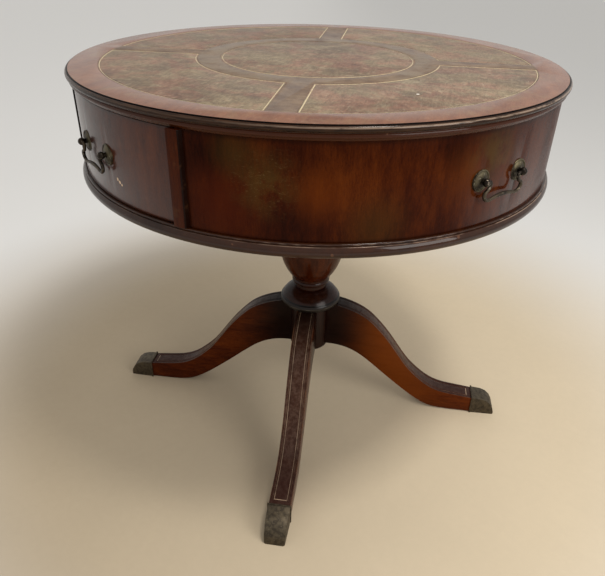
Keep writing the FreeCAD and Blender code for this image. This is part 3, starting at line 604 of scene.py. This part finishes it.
def leather(name):
    # old waxed leather, mottled olive and brown, with painted shade and highlight on its wrinkles, and gold
    # tooled lines along its edges
    look = leatherLook
    finish = Finish(name)
    cloud, blotch, fleck = (finish.noise(finish.place, *look[key]) for key in ("cloud", "blotch", "fleck"))
    share = cloud * look["cloudShare"] + blotch * look["blotchShare"] + fleck * look["fleckShare"]
    olive, russet = finish.colours(share, look["olive"]), finish.colours(share, look["russet"])
    colour = finish.mix(finish.mask(look["tint"]), olive, russet)
    colour = finish.over(colour, look["pale"], fleck.ramp(*look["pale"]["shows"]))
    crease = abs(finish.pattern(look["crease"]) - 0.5).fade(0.0, look["crease"]["width"])
    colour = finish.over(colour, look["crease"], crease)
    wrinkles = finish.pattern(look["wrinkles"])
    # painted shade in the hollows of the wrinkles and a painted highlight on their ridges
    for key in ("hollowShade", "ridgeHighlight"):
        colour = finish.over(colour, look[key], wrinkles.ramp(*look[key]["shows"]))
    colour = finish.over(colour, look["rub"], finish.mask(look["rub"]))
    lines = tooling(finish)
    gold = lines * (look["gold"]["least"] + finish.mask(look["gold"]) * look["gold"]["more"])
    colour = finish.mix(gold, colour, look["gold"]["colour"])
    speck = finish.chipped(finish.near(look["speck"]["at"], look["speck"]["reach"]), fleck, look["speck"])
    colour = finish.mix(speck, colour, look["speck"]["colour"])
    pebble = finish.add("ShaderNodeTexVoronoi", {"feature": "DISTANCE_TO_EDGE"}, {
        "Vector": finish.place, "Scale": look["pebble"]}, "Distance")
    height = pebble * (1 - lines) - crease * look["crease"]["depth"]
    return finish.close({
        "Base Color": colour, "Metallic": gold * look["gold"]["metal"], "IOR": look["bend"],
        "Roughness": look["roughness"] + blotch * look["blotchRough"] - gold * look["gold"]["smooth"],
        "Normal": finish.bump(height, look["bump"], look["bumpDepth"])})


metalLook = {"cloud": (60.0, 4.0, 0.6), "cloudShows": (0.38, 0.62), "cloudRough": 0.25,
             "spot": (240.0, 4.0, 0.65), "spotShows": (0.55, 0.72), "spotShare": 0.6,
             "metallic": 0.85, "bump": 0.25, "bumpDepth": 0.4 * mm}


def metal(name, base, worn, tarnish, roughness=0.32, scale=1.0):
    # brown lacquer in the hollows and bare metal where hands have rubbed
    look = metalLook
    finish = Finish(name)
    cloud, spot = (
        finish.noise(finish.place, look[key][0] * scale, *look[key][1:]) for key in ("cloud", "spot"))
    colour = finish.mix(cloud.ramp(*look["cloudShows"]), base, tarnish)
    colour = finish.mix(spot.ramp(*look["spotShows"]) * look["spotShare"], colour, worn)
    return finish.close({
        "Base Color": colour, "Metallic": look["metallic"], "Roughness": roughness + cloud * look["cloudRough"],
        "Normal": finish.bump(spot, look["bump"], look["bumpDepth"])})


plainLook = {"band": (9.0, 4.0, 0.6, 0.8), "bandShare": 0.6, "fine": (70.0, 4.0, 0.6), "fineShare": 0.4,
             "stops": (0.34, 0.66), "stain": {"noise": (9.0, 4.0, 0.6), "shows": (0.50, 0.72)},
             "stainShare": 0.35, "stainShade": 0.7, "roughness": 0.62, "fineRough": 0.15,
             "bump": 0.3, "bumpDepth": 0.4 * mm}


def plainWood(name, dark, light, scale):
    # unpolished wood; the scale stretches the grain along the piece
    look = plainLook
    finish = Finish(name)
    grain = finish.stretched(scale)
    band, fine = (finish.noise(grain, *look[key]) for key in ("band", "fine"))
    share = band * look["bandShare"] + fine * look["fineShare"]
    colour = finish.colours(share, list(zip(look["stops"], (dark, light))))
    stain = finish.mask(look["stain"]) * look["stainShare"]
    colour = finish.mix(stain, colour, shaded(dark, look["stainShade"]))
    return finish.close({"Base Color": colour, "Roughness": look["roughness"] + fine * look["fineRough"],
                         "Normal": finish.bump(fine, look["bump"], look["bumpDepth"])})


topWood = dict(mahoganyLook, dark=(0.105, 0.037, 0.020), deep=(0.150, 0.058, 0.030), red=(0.202, 0.084, 0.043),
               gold=(0.275, 0.126, 0.066), roughness=0.34, bend=1.12, coatBend=1.38, coatRoughness=0.08,
               pore=0.22)
mouldingWood = dict(mahoganyLook, coatBend=1.45, coat=0.64, roughness=0.30)
drawerWood = dict(mahoganyLook, bend=1.22, coatBend=1.38, coat=0.70, coatRoughness=0.16, roughness=0.30)
turnedWood = dict(mahoganyLook, coatBend=1.42, coat=0.45)
hubWood = dict(mahoganyLook, coatBend=1.45, coat=0.40, coatRoughness=0.32, roughness=0.40)
collarWood = dict(hubWood, coatRoughness=0.20)

polishedWoods = {
    "topMahogany": dict(scale=(1.0, 5.0, 5.0), turn=0.9, figure=0.8, look=topWood, wearAndShading=topWearShadeAndHighlight, coat=topCoat),
    "mouldingMahogany": dict(scale=(2.0, 2.0, 6.0), shade=0.62, look=mouldingWood, wearAndShading=baseWearAndHighlight),
    "apronMahogany": dict(scale=(3.4, 3.4, 0.8), tone=apronToneAndLight, wearAndShading=apronWearAndShade, coat=apronCoat),
    "drawerMahogany": dict(scale=(3.4, 3.4, 0.8), shade=1.1, look=drawerWood, wearAndShading=drawerWearAndShade),
    "stileMahogany": dict(scale=(6.0, 6.0, 0.6), figure=0.6, wearAndShading=stileWearAndShade, coat=stileCoat),
    "turnedMahogany": dict(scale=(4.0, 4.0, 1.0), look=turnedWood, wearAndShading=columnFootDark),
    "darkMahogany": dict(scale=(5.0, 5.0, 1.0), shade=0.25, figure=0.6, look=hubWood),
    "collarMahogany": dict(scale=(5.0, 5.0, 1.0), shade=0.30, figure=0.6, look=collarWood, wearAndShading=collarWearShadeAndHighlight),
    "legMahoganyA": dict(scale=(0.9, 6.0, 4.0), turn=quarterTurn, shade=1.45, wearAndShading=legWearLightAndShade(1.0)),
    "legMahoganyB": dict(scale=(0.9, 6.0, 4.0), turn=-quarterTurn, shade=1.55, wearAndShading=legWearLightAndShade(-1.0)),
}
metals = {
    "pullBrass": dict(base=(0.062, 0.047, 0.030), worn=(0.36, 0.31, 0.23), tarnish=(0.018, 0.013, 0.010)),
    "postBrass": dict(base=(0.028, 0.020, 0.013), worn=(0.50, 0.42, 0.32), tarnish=(0.010, 0.0070, 0.0050),
                      roughness=0.24),
    "rosetteBrass": dict(base=(0.105, 0.088, 0.050), worn=(0.33, 0.29, 0.20), tarnish=(0.030, 0.023, 0.015),
                         roughness=0.38),
    "toeBrass": dict(base=(0.088, 0.070, 0.046), worn=(0.25, 0.21, 0.145), tarnish=(0.046, 0.036, 0.025),
                     roughness=0.40, scale=2.2),
    "screwSteel": dict(base=(0.35, 0.34, 0.32), worn=(0.55, 0.54, 0.52), tarnish=(0.12, 0.11, 0.10),
                       roughness=0.38),
}
carcassTones = {"dark": (0.13, 0.070, 0.033), "light": (0.27, 0.155, 0.080)}
liningTones = {"dark": (0.22, 0.130, 0.062), "light": (0.40, 0.265, 0.140)}
plainWoods = {
    "carcassWood": dict(carcassTones, scale=(1.0, 9.0, 9.0)),
    "carcassWoodLong": dict(carcassTones, scale=(9.0, 1.0, 9.0)),
    "drawerLining": dict(liningTones, scale=(1.0, 9.0, 9.0)),
    "drawerLiningLong": dict(liningTones, scale=(9.0, 1.0, 9.0)),
}

finishes = {name: mahogany(name, **settings) for name, settings in polishedWoods.items()}
finishes["tooledLeather"] = leather("tooledLeather")
finishes.update({name: metal(name, **settings) for name, settings in metals.items()})
finishes.update({name: plainWood(name, **settings) for name, settings in plainWoods.items()})
print("finishes made:", len(finishes))

# the first of these words that a node's name holds gives its finish, otherwise its material slot does
finishByWord = {
    "side_": "drawerLiningLong", "_rosettes": "rosetteBrass", "_posts": "postBrass",
    "drawer_guide": "carcassWoodLong", "kicker_rail": "carcassWoodLong", "top_board": "topMahogany",
    "base_moulding": "mouldingMahogany", "stile": "stileMahogany", "column": "turnedMahogany",
    "collar": "collarMahogany", "hub": "darkMahogany", "leg_front_right": "legMahoganyA",
    "leg_rear_left": "legMahoganyA", "leg_": "legMahoganyB", "drawer_front": "drawerMahogany",
    "apron": "apronMahogany",
}
finishBySlot = {"leather": "tooledLeather", "pull_brass": "pullBrass", "toe_brass": "toeBrass",
                "steel": "screwSteel", "carcass_wood": "carcassWood", "drawer_lining": "drawerLining"}


def finishFor(name):
    for word, key in finishByWord.items():
        if word in name:
            return finishes[key]
    return finishes[finishBySlot[slotOf[name]]]


# how the CAD pieces are softened, and how wide their arrises are rounded, by the start of their names
softening = {"slots": ("mahogany", "leather", "toe_brass", "pull_brass"), "weld": 0.02 * mm, "flat": 0.3,
             "sharp": 25.0, "segments": 3, "smooth": 40.0}
edgeWidths = {"top_board": 0.0004, "base_moulding": 0.0004, "apron": 0.0003, "stile": 0.0009,
              "leg": 0.0006, "hub": 0.0008, "column": 0.0004, "collar": 0.0005, "toe_cap": 0.0009,
              "front_drawer_front": 0.0008, "rear_drawer_front": 0.0008, "leather": 0.00008}


def newObject(name, data):
    thing = bpy.data.objects.new(name, data)
    bpy.context.scene.collection.objects.link(thing)
    return thing


def deselectAll():
    if bpy.context.mode != "OBJECT":
        bpy.ops.object.mode_set(mode="OBJECT")
    bpy.ops.object.select_all(action="DESELECT")


def pick(piece):
    deselectAll()
    piece.select_set(True)
    bpy.context.view_layer.objects.active = piece


def smooth():
    bpy.ops.object.shade_smooth_by_angle(angle=math.radians(softening["smooth"]))


def softened(name):
    # a copy of the CAD piece with rounded arrises and even shading
    width = next((w for start, w in edgeWidths.items() if name.startswith(start)), 0.0)
    piece = newObject(name + "_finished", nodes[name].data.copy())
    pick(piece)
    bpy.ops.object.mode_set(mode="EDIT")
    bpy.ops.mesh.select_all(action="SELECT")
    bpy.ops.mesh.remove_doubles(threshold=softening["weld"])
    bpy.ops.mesh.customdata_custom_splitnormals_clear()
    bpy.ops.mesh.dissolve_limited(angle_limit=math.radians(softening["flat"]))
    bpy.ops.object.mode_set(mode="OBJECT")
    if width:
        bevel = piece.modifiers.new("arris", "BEVEL")
        bevel.width = width
        bevel.segments = softening["segments"]
        bevel.limit_method = "ANGLE"
        bevel.angle_limit = math.radians(softening["sharp"])
        bpy.ops.object.modifier_apply(modifier=bevel.name)
    smooth()
    piece.data.materials.clear()
    piece.data.materials.append(finishFor(name))
    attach(piece, bodyOf[name])
    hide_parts(name)


bails = {
    # a bail's course from its post to its middle: across, up and radius in mm
    "half": ((41.7, 0.0, 1.9), (33.5, 0.0, 1.9), (29.0, 0.0, 2.0), (28.2, -5.5, 2.2), (31.0, -10.5, 2.5),
             (38.6, -14.5, 2.7), (37.6, -22.5, 2.6), (29.5, -27.2, 2.3), (15.0, -24.0, 2.4), (6.0, -23.2, 2.7)),
    "middle": (0.0, -23.0, 2.9), "steps": 8, "round": 4, "order": 3, "weld": 0.01 * mm,
    "level": 0.64375, "post": 0.0381, "reach": 0.0095, "drawer": 0.3965, "apron": 0.3975,
    "sides": (("front", 0, "drawer"), ("right", 90, "apron"), ("rear", 180, "drawer"), ("left", 270, "apron")),
}


def bailMesh():
    # one swan-neck bail in front of the origin: a rod that swells at its sides and its middle
    points = [*bails["half"], bails["middle"], *((-x, z, r) for x, z, r in reversed(bails["half"]))]
    path = bpy.data.curves.new("bailPath", "CURVE")
    path.dimensions = "3D"
    path.bevel_depth = mm
    path.bevel_resolution = bails["round"]
    path.resolution_u = bails["steps"]
    path.use_fill_caps = True
    line = path.splines.new("NURBS")
    line.points.add(len(points) - 1)
    for spot, (x, z, r) in zip(line.points, points):
        spot.co = (x / 1000, 0, z / 1000, 1)
        spot.radius = r
    line.order_u = bails["order"]
    line.use_endpoint_u = True
    pick(newObject("bailPath", path))
    bpy.ops.object.convert(target="MESH")
    rod = bpy.context.object
    bpy.ops.object.mode_set(mode="EDIT")
    bpy.ops.mesh.select_all(action="SELECT")
    bpy.ops.mesh.remove_doubles(threshold=bails["weld"])
    bpy.ops.mesh.normals_make_consistent(inside=False)
    bpy.ops.object.mode_set(mode="OBJECT")
    smooth()
    return rod


def addBails():
    # one bail on the posts of each side, turned round the table in its mesh
    pattern = bailMesh()
    for name, turn, front in bails["sides"]:
        out = math.sqrt(bails[front] ** 2 - bails["post"] ** 2) + bails["reach"]
        piece = newObject(name + "_pull_bail_forged", pattern.data.copy())
        piece.data.transform(Matrix.Rotation(math.radians(turn), 4, "Z")
                             @ Matrix.Translation((0, -out, bails["level"])))
        piece.data.materials.append(finishes["pullBrass"])
        node = name + "_pull_bail"
        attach(piece, bodyOf[node])
        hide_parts(node)
    bpy.data.objects.remove(pattern)


for name in sorted(nodes):
    if name.endswith("_pull_bail"):
        continue
    if slotOf[name] in softening["slots"]:
        softened(name)
    else:
        nodes[name].data.materials.clear()
        nodes[name].data.materials.append(finishFor(name))
addBails()
print("pieces finished")


studio = {
    # near: painted shade darkens the floor on the left; far: the backdrop is painted darker on the right
    # against the side lamp
    "near": {"dark": (0.42, 0.345, 0.245), "light": (0.58, 0.49, 0.355), "across": (-0.75, 0.55)},
    "far": {"light": (0.80, 0.80, 0.79), "dark": (0.67, 0.67, 0.66), "across": (-0.6, 1.2)},
    "across": (0.616, 0.788), "fadeOut": (0.55, 1.3), "roughness": 0.8, "gloss": 0.15, "size": 30.0,
    "stain": {"cloud": (1.8, 5.0, 0.65), "cloudShare": 0.7, "grit": (60.0, 4.0, 0.7), "gritShare": 0.3,
              "shows": (0.35, 0.65), "share": 0.3, "strength": 0.18, "colour": (0.0, 0.0, 0.0)},
    "sky": (1.0, 0.975, 0.94), "skyStrength": 0.72, "aim": (0, 0, 0.3),
    # name, place, width, power and colour of each lamp
    "lamps": (("overheadLamp", (0.93, 0.11, 2.72), 0.45, 30.0, (1.0, 0.96, 0.90)),
              ("sideLamp", (2.1, 0.3, 1.3), 1.2, 22.0, (1.0, 0.97, 0.93))),
}


def lamp(name, place, width, power, colour):
    data = bpy.data.lights.new(name, "AREA")
    data.shape = "RECTANGLE"
    data.size = data.size_y = width
    data.energy = power
    data.color = colour
    thing = newObject(name, data)
    thing.location = place
    thing.rotation_euler = (Vector(studio["aim"]) - thing.location).to_track_quat("-Z", "Y").to_euler()


def floorFinish():
    # pale concrete with painted shade darkening it on the left, running out to a pale backdrop painted darker
    # on the right against the side lamp's light
    finish = Finish("floorFinish")
    near, far, stain = studio["near"], studio["far"], studio["stain"]
    across = finish.x * studio["across"][0] + finish.y * studio["across"][1]
    cloud, grit = (finish.noise(finish.place, *stain[key]) for key in ("cloud", "grit"))
    close = finish.mix(across.ramp(*near["across"]), near["dark"], near["light"])
    patchy = (cloud * stain["cloudShare"] + grit * stain["gritShare"]).ramp(*stain["shows"]) * stain["share"]
    close = finish.mix(patchy, close, finish.mix(stain["strength"], close, stain["colour"]))
    distant = finish.mix(across.ramp(*far["across"]), far["light"], far["dark"])
    colour = finish.mix(finish.radius().ramp(*studio["fadeOut"]), close, distant)
    return finish.close({"Base Color": colour, "Roughness": studio["roughness"],
                         "Specular IOR Level": studio["gloss"]})


deselectAll()
bpy.ops.mesh.primitive_plane_add(size=studio["size"], location=(0, 0, 0))
floor = bpy.context.object
floor.name = "floor"
floor.data.materials.append(floorFinish())

world = bpy.data.worlds.new("studio")
bpy.context.scene.world = world
world.use_nodes = True
sky = world.node_tree
sky.nodes.clear()
glow = sky.nodes.new("ShaderNodeBackground")
glow.inputs["Color"].default_value = (*studio["sky"], 1)
glow.inputs["Strength"].default_value = studio["skyStrength"]
shown = sky.nodes.new("ShaderNodeOutputWorld")
sky.links.new(glow.outputs[0], shown.inputs[0])
for settings in studio["lamps"]:
    lamp(*settings)
print("floor, sky and lamps placed")

photoView = {"place": (0.8387, -0.6598, 0.9180), "turn": (58.7805, -1.1077, 53.3828), "lens": 35.42,
             "sensor": 36.0, "nearest": 0.01}
eye = bpy.data.cameras.new("photoCamera")
eye.sensor_fit = "HORIZONTAL"
eye.sensor_width = photoView["sensor"]
eye.lens = photoView["lens"]
eye.clip_start = photoView["nearest"]
viewer = newObject("photoCamera", eye)
viewer.location = photoView["place"]
viewer.rotation_euler = [math.radians(a) for a in photoView["turn"]]
bpy.context.scene.camera = viewer
bpy.context.scene.view_settings.view_transform = "Standard"

print("scene ready")
